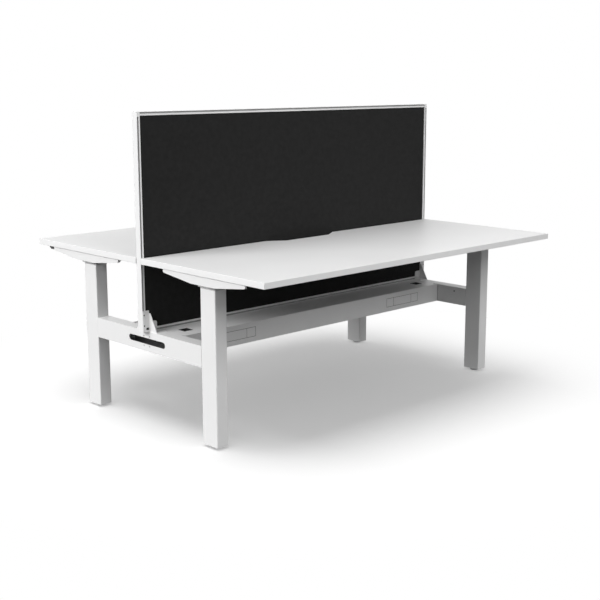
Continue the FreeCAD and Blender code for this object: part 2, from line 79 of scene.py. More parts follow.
def pick_faces(piece, test):
    """Go to edit mode with only those faces selected whose centre and normal pass a test."""
    focus(piece)
    bpy.ops.object.mode_set(mode="EDIT")
    bpy.ops.mesh.select_mode(type="FACE")
    bpy.ops.mesh.select_all(action="DESELECT")
    bpy.ops.object.mode_set(mode="OBJECT")
    for face in piece.data.polygons:
        face.select = test(face.center, face.normal)
    bpy.ops.object.mode_set(mode="EDIT")


def rounded(piece, edge, steps=2, least_turn=38):
    """Round the sharp edges of a piece and keep its flat faces flat in the light."""
    focus(piece)
    bevel = piece.modifiers.new("rounded edges", "BEVEL")
    bevel.width = edge
    bevel.segments = steps
    bevel.limit_method = "ANGLE"
    bevel.angle_limit = math.radians(least_turn)
    bpy.ops.object.modifier_apply(modifier=bevel.name)
    bpy.ops.object.shade_smooth_by_angle(angle=math.radians(least_turn))
    even = piece.modifiers.new("flat faces first", "WEIGHTED_NORMAL")
    even.keep_sharp = True
    bpy.ops.object.modifier_apply(modifier=even.name)


def joined(name, *pieces):
    """Join pieces into the first one and name it."""
    focus(pieces[0])
    for piece in pieces[1:]:
        piece.select_set(True)
    bpy.ops.object.join()
    pieces[0].name = name
    return pieces[0]


def copied(piece, name, start=(0, 0, 0), place=(0, 0, 0), turn=(0, 0, 0)):
    """A copy of a piece with a mesh of its own, turned about a point that then goes to a place."""
    copy = bpy.data.objects.new(name, piece.data.copy())
    bpy.context.collection.objects.link(copy)
    focus(copy)
    copy.rotation_euler = turn
    copy.location = Vector(place) - copy.rotation_euler.to_matrix() @ Vector(start)
    bpy.ops.object.transform_apply(location=True, rotation=True, scale=True)
    return copy


def spread(piece, stem, places):
    """The piece that stands at the first of some places, and a copy of it for each of the others."""
    first, *others = places
    piece.name = stem + first
    pieces = {first: piece}
    for other in others:
        pieces[other] = copied(piece, stem + other, start=places[first], place=places[other])
    return pieces


def middle_of(node):
    """The middle of a node's box."""
    low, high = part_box(node)
    return (low + high) / 2


def painted(piece, *materials):
    """Give a piece its materials in place of any that it has."""
    piece.data.materials.clear()
    for material in materials:
        piece.data.materials.append(material)


def repaint(piece, index, test):
    """Give the faces that pass a test another of the piece's materials."""
    for face in piece.data.polygons:
        if test(face.center, face.normal):
            face.material_index = index


def fitted(piece, body, slot, *replaced):
    """Let a piece ride on its body and stand for its CAD nodes; the slot is not used."""
    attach(piece, body)
    if replaced:
        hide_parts(*replaced)


def finish(name, colour, roughness, **sockets):
    """A material with its plain values on the shader's own sockets."""
    material = bpy.data.materials.new(name)
    material.use_nodes = True
    shader = material.node_tree.nodes["Principled BSDF"]
    shader.inputs["Base Color"].default_value = (*colour, 1)
    shader.inputs["Roughness"].default_value = roughness
    for socket, value in sockets.items():
        shader.inputs[socket.replace("_", " ")].default_value = value
    return material


def noise(material, size, stretch=(1, 1, 1), detail=3):
    """Noise of one grain size on the piece's own coordinates; returns its value socket."""
    tree = material.node_tree
    place = tree.nodes.new("ShaderNodeTexCoord")
    mapping = tree.nodes.new("ShaderNodeMapping")
    mapping.inputs["Scale"].default_value = stretch
    texture = tree.nodes.new("ShaderNodeTexNoise")
    texture.inputs["Scale"].default_value = 1 / size
    texture.inputs["Detail"].default_value = detail
    tree.links.new(place.outputs["Object"], mapping.inputs["Vector"])
    tree.links.new(mapping.outputs["Vector"], texture.inputs["Vector"])
    return texture.outputs["Fac"]


def bumped(material, height, depth, strength=0.5):
    """Let a pattern raise the surface by up to a depth in metres."""
    tree = material.node_tree
    bump = tree.nodes.new("ShaderNodeBump")
    bump.inputs["Strength"].default_value = strength
    bump.inputs["Distance"].default_value = depth
    tree.links.new(height, bump.inputs["Height"])
    tree.links.new(bump.outputs["Normal"], tree.nodes["Principled BSDF"].inputs["Normal"])


def varied(material, pattern, dark, light, gloss):
    """Let a pattern swing the colour between two shades and the roughness between two values."""
    tree = material.node_tree
    shader = tree.nodes["Principled BSDF"]
    shades = tree.nodes.new("ShaderNodeValToRGB")
    for stop, place, shade in zip(shades.color_ramp.elements, (0.3, 0.7), (dark, light)):
        stop.position = place
        stop.color = (*shade, 1)
    polish = tree.nodes.new("ShaderNodeMapRange")
    polish.inputs["To Min"].default_value, polish.inputs["To Max"].default_value = gloss
    tree.links.new(pattern, shades.inputs["Fac"])
    tree.links.new(pattern, polish.inputs["Value"])
    tree.links.new(shades.outputs["Color"], shader.inputs["Base Color"])
    tree.links.new(polish.outputs["Result"], shader.inputs["Roughness"])


def grey(value):
    """A neutral colour."""
    return (value, value, value)


pale_nylon = finish("pale nylon", grey(0.62), roughness=0.5)
varied(pale_nylon, noise(pale_nylon, size=0.03), dark=grey(0.56), light=grey(0.66), gloss=(0.45, 0.6))
bumped(pale_nylon, noise(pale_nylon, size=0.0008), depth=0.00005)
zinc = finish("zinc plated steel", grey(0.55), roughness=0.3, Metallic=1.0)
varied(zinc, noise(zinc, size=0.004), dark=grey(0.45), light=grey(0.62), gloss=(0.22, 0.42))
bumped(zinc, noise(zinc, size=0.0006), depth=0.00002)

# A face looks along an axis when at least this share of its normal does.
square_on = 0.9

disc_height = 0.007
disc_edge = 0.0022
boss_radius = 0.0135
boss_rim = 0.0008
boss_recess = 0.0006
hexagon_flats = 0.019
hexagon_top = 0.010
hexagon_sink = 0.0006
hexagon_edge = 0.0006
thread_radius = 0.005
thread_depth = 0.0006
thread_pitch = 0.00175

foot_low, foot_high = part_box("levelling_foot_" + corners[0])
foot_places = {corner: middle_of("levelling_foot_" + corner) for corner in corners}
foot_x, foot_y = foot_places[corners[0]].xy
foot_radius = (foot_high.x - foot_low.x) / 2

bpy.ops.mesh.primitive_cylinder_add(vertices=48, radius=foot_radius, depth=disc_height,
                                    location=(foot_x, foot_y, disc_height / 2))
disc = added("foot_disc")
pick_faces(disc, lambda centre, normal: normal.z > square_on)
bpy.ops.mesh.inset(thickness=foot_radius - boss_radius)
bpy.ops.mesh.inset(thickness=boss_rim)
bpy.ops.transform.translate(value=(0, 0, -boss_recess))
rounded(disc, disc_edge, steps=4)
painted(disc, pale_nylon)

hexagon_low = disc_height - hexagon_sink
bpy.ops.mesh.primitive_cylinder_add(vertices=6, radius=hexagon_flats / 2 / math.cos(math.pi / 6),
                                    depth=hexagon_top - hexagon_low,
                                    location=(foot_x, foot_y, (hexagon_top + hexagon_low) / 2))
hexagon = added("foot_hexagon")
rounded(hexagon, hexagon_edge)
painted(hexagon, zinc)

thread_core = thread_radius - thread_depth
crest_z = hexagon_top + thread_pitch / 2
bpy.ops.mesh.primitive_cylinder_add(vertices=24, radius=thread_core, depth=thread_pitch,
                                    location=(foot_x, foot_y, crest_z))
thread = added("foot_thread")
focus(thread)
bpy.ops.object.mode_set(mode="EDIT")
bpy.ops.mesh.select_all(action="SELECT")
bpy.ops.mesh.bisect(plane_co=(foot_x, foot_y, crest_z), plane_no=(0, 0, 1))
crest = thread_radius / thread_core
bpy.ops.transform.resize(value=(crest, crest, 1), center_override=(foot_x, foot_y, hexagon_top))
bpy.ops.object.mode_set(mode="OBJECT")
turns = thread.modifiers.new("thread", "ARRAY")
turns.count = int((foot_high.z - hexagon_top) / thread_pitch)
turns.use_relative_offset = False
turns.use_constant_offset = True
turns.constant_offset_displace = (0, 0, thread_pitch)
bpy.ops.object.modifier_apply(modifier=turns.name)
painted(thread, zinc)

feet = spread(joined("foot", disc, hexagon, thread), "foot_", foot_places)
for corner, foot in feet.items():
    node = "levelling_foot_" + corner
    fitted(foot, body_of[node], "pale_plastic", node)


# Columns: rectangular steel tube with rolled corners, powder coated white. The inner tube slides in
# the outer one on a pale plastic collar, which is pressed into the mouth of the outer tube.

def softened(node, edge, slot, *materials, steps=2, trims=()):
    """A node's shape, merged, trimmed at planes and rounded at its edges, to stand for that node."""
    piece = bpy.data.objects.new(node + "_finish", nodes[node].data.copy())
    bpy.context.collection.objects.link(piece)
    focus(piece)
    bpy.ops.mesh.customdata_custom_splitnormals_clear()
    bpy.ops.object.mode_set(mode="EDIT")
    bpy.ops.mesh.select_all(action="SELECT")
    bpy.ops.mesh.remove_doubles(threshold=1e-6)
    bpy.ops.mesh.dissolve_limited(angle_limit=math.radians(0.5))
    for place, outward in trims:
        bpy.ops.mesh.select_all(action="SELECT")
        bpy.ops.mesh.bisect(plane_co=place, plane_no=outward, use_fill=True, clear_outer=True)
    bpy.ops.object.mode_set(mode="OBJECT")
    rounded(piece, edge, steps)
    painted(piece, *materials)
    fitted(piece, body_of[node], slot, node)
    return piece


def powder_coat(name, shade):
    """Baked powder paint: a fine orange peel and a slight drift of shade and gloss."""
    material = finish(name, grey(shade), roughness=0.42)
    varied(material, noise(material, size=0.22, detail=4),
           dark=grey(shade - 0.012), light=grey(shade + 0.012), gloss=(0.38, 0.47))
    bumped(material, noise(material, size=0.0011, detail=2), depth=0.00006, strength=0.35)
    return material


white_coat = powder_coat("white powder coat", 0.82)
tube_edge = 0.0005
collar_edge = 0.0005
for corner in corners:
    softened("outer_tube_" + corner, tube_edge, "white_steel", white_coat)
    softened("inner_tube_" + corner, tube_edge, "white_steel", white_coat)
softened("glide_collars", collar_edge, "pale_plastic", pale_nylon)


# Lifting drives: a cast head on the inner tube carries the gearbox and the motor can under the
# worktop, and turns the steel screw in a brass nut that stands on a square push tube.

cast_alloy = finish("cast alloy", grey(0.5), roughness=0.5, Metallic=0.85)
varied(cast_alloy, noise(cast_alloy, size=0.012), dark=grey(0.42), light=grey(0.56), gloss=(0.42, 0.6))
bumped(cast_alloy, noise(cast_alloy, size=0.0014), depth=0.0002)
gear_moulding = finish("black gearbox moulding", grey(0.025), roughness=0.5)
varied(gear_moulding, noise(gear_moulding, size=0.02),
       dark=grey(0.018), light=grey(0.034), gloss=(0.42, 0.58))
bumped(gear_moulding, noise(gear_moulding, size=0.0007), depth=0.0001)
motor_enamel = finish("black motor enamel", grey(0.03), roughness=0.32)
varied(motor_enamel, noise(motor_enamel, size=0.05),
       dark=grey(0.022), light=grey(0.04), gloss=(0.26, 0.4))
bumped(motor_enamel, noise(motor_enamel, size=0.002), depth=0.00005)
brass = finish("nut brass", (0.6, 0.42, 0.16), roughness=0.32, Metallic=1.0)
varied(brass, noise(brass, size=0.006),
       dark=(0.52, 0.35, 0.12), light=(0.66, 0.48, 0.2), gloss=(0.25, 0.4))
ground_steel = finish("rolled screw steel", grey(0.5), roughness=0.28, Metallic=1.0)
varied(ground_steel, noise(ground_steel, size=0.0015, stretch=(1, 1, 6)),
       dark=grey(0.4), light=grey(0.6), gloss=(0.2, 0.4))
bumped(ground_steel, noise(ground_steel, size=0.002, stretch=(0.1, 0.1, 1)), depth=0.0003)
raw_steel = finish("drawn steel", grey(0.42), roughness=0.4, Metallic=1.0)
varied(raw_steel, noise(raw_steel, size=0.004, stretch=(1, 1, 0.1)),
       dark=grey(0.34), light=grey(0.5), gloss=(0.3, 0.5))

head_edge = 0.0008
head_plate = 0.0125
gearbox_from = 0.060
motor_from = 0.102
joint_line = 0.0002
motor_drop = 0.020
band_radius = 0.0206
band_width = 0.004
band_inset = 0.009
band_rim = 0.0025
band_edge = 0.0007

band_places = {}
for corner in corners:
    node = "drive_head_" + corner
    low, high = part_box(node)
    head = softened(node, head_edge, "cast_aluminium", cast_alloy, gear_moulding, motor_enamel)
    outward = -1 if corner.endswith("left") else 1
    column_side, motor_end = (low.x, high.x) if outward < 0 else (high.x, low.x)
    gearbox_x = column_side - outward * gearbox_from
    motor_x = column_side - outward * motor_from
    repaint(head, 1, lambda centre, normal:
            outward * (centre.x - gearbox_x) < 0 and centre.z > low.z + head_plate)
    repaint(head, 2, lambda centre, normal: outward * (centre.x - motor_x) < -joint_line)
    band_places[corner] = Vector((motor_end + outward * band_inset, middle_of("spindle_" + corner).y,
                                  high.z - motor_drop))
    painted(nodes["spindle_" + corner], ground_steel)
    painted(nodes["push_tube_" + corner], raw_steel)
painted(nodes["lift_nuts"], brass)

bpy.ops.mesh.primitive_cylinder_add(vertices=40, radius=band_radius, depth=band_width,
                                    rotation=(0, math.pi / 2, 0), location=band_places[corners[0]])
first_band = added("motor_band")
pick_faces(first_band, lambda centre, normal: abs(normal.x) > square_on)
bpy.ops.mesh.inset(thickness=band_rim)
rounded(first_band, band_edge)
painted(first_band, gear_moulding)
for corner, band in spread(first_band, "motor_band_", band_places).items():
    fitted(band, body_of["drive_head_" + corner], "black_plastic")


# End beams: each is a folded steel channel, powder coated, bolted between two columns through its
# welded end plates. A sheet steel cover clips in on each side of the tray and takes one screw. The
# right end is the left one turned half round.

def screw_head(name, place, axis, radius, height, material):
    """A low button head with a round socket, looking along an axis from its place."""
    chamfer = 0.12 * radius
    socket = 0.45 * radius
    socket_wall = 0.04 * radius
    crown = 0.35 * height
    quarter = math.pi / 2
    turns = {"x": (0, quarter, 0), "-x": (0, -quarter, 0), "-y": (quarter, 0, 0), "-z": (math.pi, 0, 0)}
    bpy.ops.mesh.primitive_cylinder_add(vertices=24, radius=radius, depth=height)
    head = added(name)
    pick_faces(head, lambda centre, normal: normal.z > square_on)
    bpy.ops.mesh.inset(thickness=chamfer)
    bpy.ops.transform.translate(value=(0, 0, crown))
    bpy.ops.mesh.inset(thickness=radius - chamfer - socket)
    bpy.ops.mesh.inset(thickness=socket_wall)
    bpy.ops.transform.translate(value=(0, 0, -height))
    bpy.ops.object.mode_set(mode="OBJECT")
    bpy.ops.object.shade_smooth_by_angle(angle=math.radians(35))
    head.rotation_euler = turns[axis]
    head.location = place
    bpy.ops.object.transform_apply(location=True, rotation=True, scale=True)
    painted(head, material)
    return head


def screw_pair(name, places, axis, radius, height, material):
    """A screw at the first of two places and a copy of it at the second, as one piece."""
    first = screw_head(name, places[0], axis, radius, height, material)
    return joined(name, first, copied(first, name, start=places[0], place=places[1]))


black_screw = finish("blackened screw steel", grey(0.06), roughness=0.36, Metallic=0.8)
varied(black_screw, noise(black_screw, size=0.002), dark=grey(0.04), light=grey(0.08), gloss=(0.3, 0.45))

half_turn = (0, 0, math.pi)
sheet_edge = 0.0007
cover_step = 0.042
cover_screw_drop = 0.018
cover_screw_size = {"radius": 0.004, "height": 0.0012}
for side in ("left", "right"):
    softened("end_beam_" + side, sheet_edge, "white_steel", white_coat)
    softened("beam_covers_" + side, sheet_edge, "white_steel", white_coat)

low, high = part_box("beam_covers_left")
screw_y = (low.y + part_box("cable_tray")[0].y - cover_step) / 2
screw_places = [(high.x, y, high.z - cover_screw_drop) for y in (screw_y, -screw_y)]
left_screws = screw_pair("cover_screws_left", screw_places, "x", material=black_screw, **cover_screw_size)
for screws in (left_screws, copied(left_screws, "cover_screws_right", turn=half_turn)):
    fitted(screws, "frame", "bright_steel")


# Cable tray: a folded trough of sheet steel hung between the beams, with outlet knock-outs scored in
# both faces. The scored lines are painted dark grey as painted shade in their grooves, and each end
# face is painted dark grey as painted shade inside the beam. Two lids drop in beside the screen, each
# with two black moulded cable grommets.

black_moulding = finish("black moulding", grey(0.02), roughness=0.55)
varied(black_moulding, noise(black_moulding, size=0.03),
       dark=grey(0.014), light=grey(0.026), gloss=(0.48, 0.62))
bumped(black_moulding, noise(black_moulding, size=0.0006), depth=0.00012)

# Dark grey painted shade for the scored knock-out grooves.
painted_score_shade = finish("painted score shade", grey(0.2), roughness=0.6)
varied(painted_score_shade, noise(painted_score_shade, size=0.01), dark=grey(0.17), light=grey(0.23), gloss=(0.55, 0.65))
bumped(painted_score_shade, noise(painted_score_shade, size=0.001), depth=0.00005)

# Dark grey painted shade for the tray's end faces inside the beams.
painted_end_shade = finish("painted end shade", grey(0.2), roughness=0.9)
varied(painted_end_shade, noise(painted_end_shade, size=0.004), dark=grey(0.17), light=grey(0.23), gloss=(0.85, 0.95))
bumped(painted_end_shade, noise(painted_end_shade, size=0.0012), depth=0.0003)

fold_edge = 0.0003
lid_edge = 0.0006
grommet_edge = 0.0006
score_depth = 0.001
score_reach = 0.024
face_margin = 0.0001
tray = softened("cable_tray", fold_edge, "white_steel", white_coat, painted_score_shade, painted_end_shade, steps=1)
tray_low, tray_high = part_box("cable_tray")
tray_middle = (tray_low.z + tray_high.z) / 2
# The scored knock-out grooves are painted dark grey as painted shade.
repaint(tray, 1, lambda centre, normal:
        face_margin < tray_high.y - abs(centre.y) < score_depth + face_margin
        and abs(centre.z - tray_middle) < score_reach
        and abs(centre.x) < tray_high.x - score_reach)
# The tray's end faces are painted dark grey as painted shade, seen through the beam slot.
repaint(tray, 2, lambda centre, normal:
        abs(normal.x) > square_on and tray_high.x - abs(centre.x) < face_margin)
for desk in desks:
    softened("tray_lid_" + desk, lid_edge, "white_steel", white_coat)
    softened("cable_grommets_" + desk, grommet_edge, "black_plastic", black_moulding)

end_screw_y = 0.02
end_screw_lift = 0.032
end_screw_size = {"radius": 0.0042, "height": 0.0014}
screw_places = [(tray_low.x, y, tray_low.z + end_screw_lift) for y in (-end_screw_y, end_screw_y)]
left_screws = screw_pair("tray_screws_left", screw_places, "-x", material=black_screw, **end_screw_size)
for screws in (left_screws, copied(left_screws, "tray_screws_right", turn=half_turn)):
    fitted(screws, "frame", "bright_steel")


# Screen brackets: folded steel angles with a sloping gusset, powder coated. Two black screws go into
# the groove of the screen's frame, a black clip fills the slot and the foot stands on the beam.

for corner in corners:
    softened("screen_bracket_" + corner, sheet_edge, "white_steel", white_coat)
low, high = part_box("screen_bracket_front_left")

bracket_screw_lifts = (0.027, 0.072)
bracket_screw_inset = 0.00575
bracket_screw_out = 0.0022
bracket_screw_size = {"radius": 0.0031, "height": 0.0014}
screw_x = low.x + bracket_screw_inset
screw_places = [(screw_x, high.y - bracket_screw_out, low.z + lift) for lift in bracket_screw_lifts]
front_left = screw_pair("bracket_screws_front_left", screw_places, "-y", material=black_screw,
                        **bracket_screw_size)
front_right = copied(front_left, "bracket_screws_front_right",
                     start=(screw_x, 0, 0), place=(-screw_x, 0, 0))
rear_left = copied(front_right, "bracket_screws_rear_left", turn=half_turn)
rear_right = copied(front_left, "bracket_screws_rear_right", turn=half_turn)
for screws in (front_left, front_right, rear_left, rear_right):
    fitted(screws, "frame", "bright_steel")

bracket_sheet = 0.003
clip_length = 0.0136
clip_height = 0.0096
clip_inset = 0.0215
clip_lift = 0.013
clip_recess = 0.0006
clip_rim = 0.0012
clip_dish = 0.6
clip_edge = 0.0003
clip_x = low.x + clip_inset
clip_y = high.y - bracket_sheet / 2
clip_z = low.z + clip_lift
clip_places = {"front_left": (clip_x, clip_y, clip_z), "front_right": (-clip_x, clip_y, clip_z),
               "rear_left": (clip_x, -clip_y, clip_z), "rear_right": (-clip_x, -clip_y, clip_z)}
bpy.ops.mesh.primitive_cube_add(size=1, location=clip_places["front_left"])
bpy.context.object.scale = (clip_length, bracket_sheet - 2 * clip_recess, clip_height)
first_clip = added("bracket_clip")
pick_faces(first_clip, lambda centre, normal: abs(normal.y) > square_on)
bpy.ops.mesh.inset(thickness=clip_rim, use_individual=True)
bpy.ops.transform.resize(value=(1, clip_dish, 1), center_override=clip_places["front_left"])
rounded(first_clip, clip_edge)
painted(first_clip, black_moulding)
for clip in spread(first_clip, "bracket_clip_", clip_places).values():
    fitted(clip, "frame", "black_plastic")


# Screen frame: slim white coated aluminium extrusions with a fixing groove along each face, butted
# at the stiles' plain ends. The groove faces are painted mid grey as painted shade in the grooves.

white_extrusion = finish("white coated aluminium", grey(0.84), roughness=0.38)
varied(white_extrusion, noise(white_extrusion, size=0.3),
       dark=grey(0.825), light=grey(0.85), gloss=(0.34, 0.42))
bumped(white_extrusion, noise(white_extrusion, size=0.0012), depth=0.00004, strength=0.35)
# Mid grey painted shade for the frame's grooves.
painted_groove_shade = finish("painted groove shade", grey(0.42), roughness=0.7)
varied(painted_groove_shade, noise(painted_groove_shade, size=0.02),
       dark=grey(0.39), light=grey(0.45), gloss=(0.65, 0.78))
bumped(painted_groove_shade, noise(painted_groove_shade, size=0.0008), depth=0.00005)

frame_face = 0.0155
groove_depth = 0.006
frame_edge = 0.0005
frame_nodes = ("screen_stile_left", "screen_stile_right", "screen_rail_top", "screen_rail_bottom")
for node in frame_nodes:
    member = softened(node, frame_edge, "white_aluminium", white_extrusion, painted_groove_shade)
    low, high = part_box(node)
    length = high.x - low.x
    height = high.z - low.z
    # The groove faces take the mid grey painted shade.
    repaint(member, 1, lambda centre, normal:
            frame_edge < high.y - abs(centre.y) < groove_depth + frame_edge)
    if "rail" in node:
        slimmed = (1 + 2 * (height - frame_face) / length, 1, frame_face / height)
        outer_edge = (0, 0, high.z if "top" in node else low.z)
    else:
        slimmed = (frame_face / length, 1, 1)
        outer_edge = (low.x if "left" in node else high.x, 0, 0)
    focus(member)
    bpy.ops.object.mode_set(mode="EDIT")
    bpy.ops.mesh.select_all(action="SELECT")
    bpy.ops.transform.resize(value=slimmed, center_override=outer_edge)
    bpy.ops.object.mode_set(mode="OBJECT")


# Screen panel: a board wrapped in plain-woven black cloth, drawn tight over its edges and held in
# the frame. Each side is one stretched sheet, with its margin rolled back into the frame.

def woven_cloth():
    """Plain weave of black yarn: rounded threads over and under, each a slightly different shade."""
    thread = 0.0013
    material = finish("black screen cloth", grey(0.0155), roughness=0.92, Specular_IOR_Level=0.12,
                      Sheen_Weight=0.05, Sheen_Roughness=0.5)
    tree = material.node_tree
    place = tree.nodes.new("ShaderNodeTexCoord")
    turned = tree.nodes.new("ShaderNodeMapping")
    turned.inputs["Rotation"].default_value = (math.pi / 2, 0, 0)
    turned.inputs["Scale"].default_value = (1 / thread,) * 3
    weave = tree.nodes.new("ShaderNodeTexChecker")
    weave.inputs["Scale"].default_value = 1
    ribs = []
    for axis in ("X", "Y"):
        wave = tree.nodes.new("ShaderNodeTexWave")
        wave.bands_direction = axis
        wave.inputs["Scale"].default_value = 0.314
        wave.inputs["Distortion"].default_value = 0.6
        wave.inputs["Detail Scale"].default_value = 0.4
        tree.links.new(turned.outputs["Vector"], wave.inputs["Vector"])
        ribs.append(wave.outputs["Fac"])
    over = tree.nodes.new("ShaderNodeMix")
    tree.links.new(place.outputs["Object"], turned.inputs["Vector"])
    tree.links.new(turned.outputs["Vector"], weave.inputs["Vector"])
    tree.links.new(weave.outputs["Fac"], over.inputs["Factor"])
    tree.links.new(ribs[0], over.inputs["A"])
    tree.links.new(ribs[1], over.inputs["B"])
    bumped(material, over.outputs["Result"], depth=0.0004, strength=0.6)
    varied(material, noise(material, size=0.02, detail=6),
           dark=grey(0.0125), light=grey(0.0175), gloss=(0.88, 0.96))
    return material


screen_cloth = woven_cloth()
margin = 0.004
margin_roll = 0.7 * margin
cloth_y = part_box("screen_panel")[0].y
cloth_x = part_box("screen_stile_right")[1].x - frame_face
cloth_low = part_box("screen_rail_bottom")[0].z + frame_face
cloth_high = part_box("screen_rail_top")[1].z - frame_face
cloth_size = (2 * cloth_x, cloth_high - cloth_low)
bpy.ops.mesh.primitive_plane_add(size=1, rotation=(math.pi / 2, 0, 0),
                                 location=(0, cloth_y, (cloth_low + cloth_high) / 2))
bpy.context.object.scale = (*cloth_size, 1)
front_cloth = added("screen_cloth_front")
pick_faces(front_cloth, lambda centre, normal: True)
bpy.ops.mesh.inset(thickness=margin)
bpy.ops.object.mode_set(mode="OBJECT")
for vertex in front_cloth.data.vertices:
    inside_x = abs(vertex.co.x) < cloth_x - margin / 2
    inside_z = cloth_low + margin / 2 < vertex.co.z < cloth_high - margin / 2
    if not (inside_x and inside_z):
        vertex.co.y += margin
bend = front_cloth.modifiers.new("rolled margin", "BEVEL")
bend.width = margin_roll
bend.segments = 5
bend.limit_method = "ANGLE"
bpy.ops.object.modifier_apply(modifier=bend.name)
bpy.ops.object.mode_set(mode="EDIT")
bpy.ops.mesh.select_all(action="SELECT")
bpy.ops.mesh.normals_make_consistent(inside=False)
bpy.ops.object.mode_set(mode="OBJECT")
bpy.ops.object.shade_smooth()
painted(front_cloth, screen_cloth)
for cloth in (front_cloth, copied(front_cloth, "screen_cloth_rear", turn=half_turn)):
    fitted(cloth, "frame", "screen_fabric", "screen_panel")


# Support arms and rails: boat-shaped pressed steel pans screwed up into the worktop, trimmed so that
# they run out to slim tips along the outer wall, and a square tube that ties a desk's arms together.

arm_edge = 0.0008
rail_edge = 0.0008
tip_width = 0.008
tip_taper = 0.095
for corner in corners:
    node = "support_arm_" + corner
    low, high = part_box(node)
    inward = 1 if corner.endswith("left") else -1
    tip_x = low.x + tip_width if inward > 0 else high.x - tip_width
    taper_width = high.x - low.x - tip_width
    trims = [((tip_x, end_y, 0), (inward * tip_taper, way * taper_width, 0))
             for end_y, way in ((low.y, -1), (high.y, 1))]
    softened(node, arm_edge, "white_steel", white_coat, trims=trims)
for desk in desks:
    softened("worktop_rail_" + desk, rail_edge, "white_steel", white_coat)


# Worktops: 25 mm chipboard faced with white melamine, edged all round with 1 mm white banding, with
# a cable notch routed in the rear edge.

melamine = finish("white melamine", grey(0.84), roughness=0.44, Specular_IOR_Level=0.28)
varied(melamine, noise(melamine, size=0.35, detail=5),
       dark=grey(0.83), light=grey(0.85), gloss=(0.41, 0.47))
bumped(melamine, noise(melamine, size=0.0005, detail=2), depth=0.00003, strength=0.3)
banding = finish("white edge banding", grey(0.85), roughness=0.32)
varied(banding, noise(banding, size=0.1), dark=grey(0.84), light=grey(0.86), gloss=(0.28, 0.36))
bumped(banding, noise(banding, size=0.003, stretch=(1, 1, 0.2)), depth=0.00003, strength=0.3)

worktop_edge = 0.0004
level_share = 0.95
for desk in desks:
    top = softened("worktop_" + desk, worktop_edge, "white_laminate", melamine, banding)
    repaint(top, 1, lambda centre, normal: abs(normal.z) < level_share)


# Control boxes: a black moulded housing under each worktop, screwed through two ears, with sockets
# for the columns and the handset and a mains inlet in its rear wall.

box_edge = 0.0012
ear_thickness = 0.004
ear_screw_inset = 0.008
ear_screw_size = {"radius": 0.004, "height": 0.0016}
for desk in desks:
    softened("control_box_" + desk, box_edge, "black_plastic", black_moulding, steps=3)
low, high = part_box("control_box_front")
screw_places = [(x, (low.y + high.y) / 2, high.z - ear_thickness)
                for x in (low.x + ear_screw_inset, high.x - ear_screw_inset)]
front_screws = screw_pair("control_box_screws_front", screw_places, "-z", material=zinc, **ear_screw_size)
rear_screws = copied(front_screws, "control_box_screws_rear", turn=half_turn)
fitted(front_screws, "front_desk", "bright_steel")
fitted(rear_screws, "rear_desk", "bright_steel")


# Handsets: a black moulded wedge under the front edge of each worktop, with two grey rubber keys
# that are marked with plain arrows.

key_rubber = finish("grey key rubber", grey(0.16), roughness=0.6)
varied(key_rubber, noise(key_rubber, size=0.01), dark=grey(0.14), light=grey(0.18), gloss=(0.55, 0.66))
bumped(key_rubber, noise(key_rubber, size=0.0004), depth=0.00008)
arrow_print = finish("pale arrow print", grey(0.7), roughness=0.5)
varied(arrow_print, noise(arrow_print, size=0.002),
       dark=grey(0.66), light=grey(0.74), gloss=(0.45, 0.55))

handset_edge = 0.0008
key_edge = 0.0005
arrow_radius = 0.0019
arrow_rise = 0.00025
arrow_edge = 0.00006
for desk in desks:
    softened("handset_" + desk, handset_edge, "black_plastic", black_moulding, steps=3)
    for way in ("up", "down"):
        softened(way + "_button_" + desk, key_edge, "grey_keys", key_rubber, arrow_print, steps=3)

arrow_places = {}
for way in ("up", "down"):
    node = way + "_button_front"
    arrow_places[way] = middle_of(node)
    arrow_places[way].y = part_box(node)[0].y
bpy.ops.mesh.primitive_cylinder_add(vertices=3, radius=arrow_radius, depth=arrow_rise,
                                    rotation=(math.pi / 2, 0, 0), location=arrow_places["up"])
arrow_up = added("arrow_up_front")
rounded(arrow_up, arrow_edge)
painted(arrow_up, arrow_print)
arrow_down = copied(arrow_up, "arrow_down_front", start=arrow_places["up"], place=arrow_places["down"],
                    turn=(math.pi, 0, 0))
for way, arrow in (("up", arrow_up), ("down", arrow_down)):
    fitted(arrow, "front_" + way + "_button", "grey_keys")
    fitted(copied(arrow, "arrow_" + way + "_rear", turn=half_turn), "rear_" + way + "_button", "grey_keys")


# Studio: a plain white floor that keeps the soft shadow and runs out into the white surround. Large
# soft lights stand at the left, at the front, overhead and behind, flagged off the floor, which has a
# light of its own, and an even fill comes from all round.

def seen_directly(tree):
    """A value of 1 for rays from the camera, in reflections and through clear pieces."""
    path = tree.nodes.new("ShaderNodeLightPath")
    total = tree.nodes.new("ShaderNodeMath")
    total.operation = "ADD"
    total.use_clamp = True
    either = tree.nodes.new("ShaderNodeMath")
    either.operation = "ADD"
    tree.links.new(path.outputs["Is Glossy Ray"], either.inputs[0])
    tree.links.new(path.outputs["Is Transmission Ray"], either.inputs[1])
    tree.links.new(path.outputs["Is Camera Ray"], total.inputs[0])
    tree.links.new(either.outputs["Value"], total.inputs[1])
    return total.outputs["Value"]


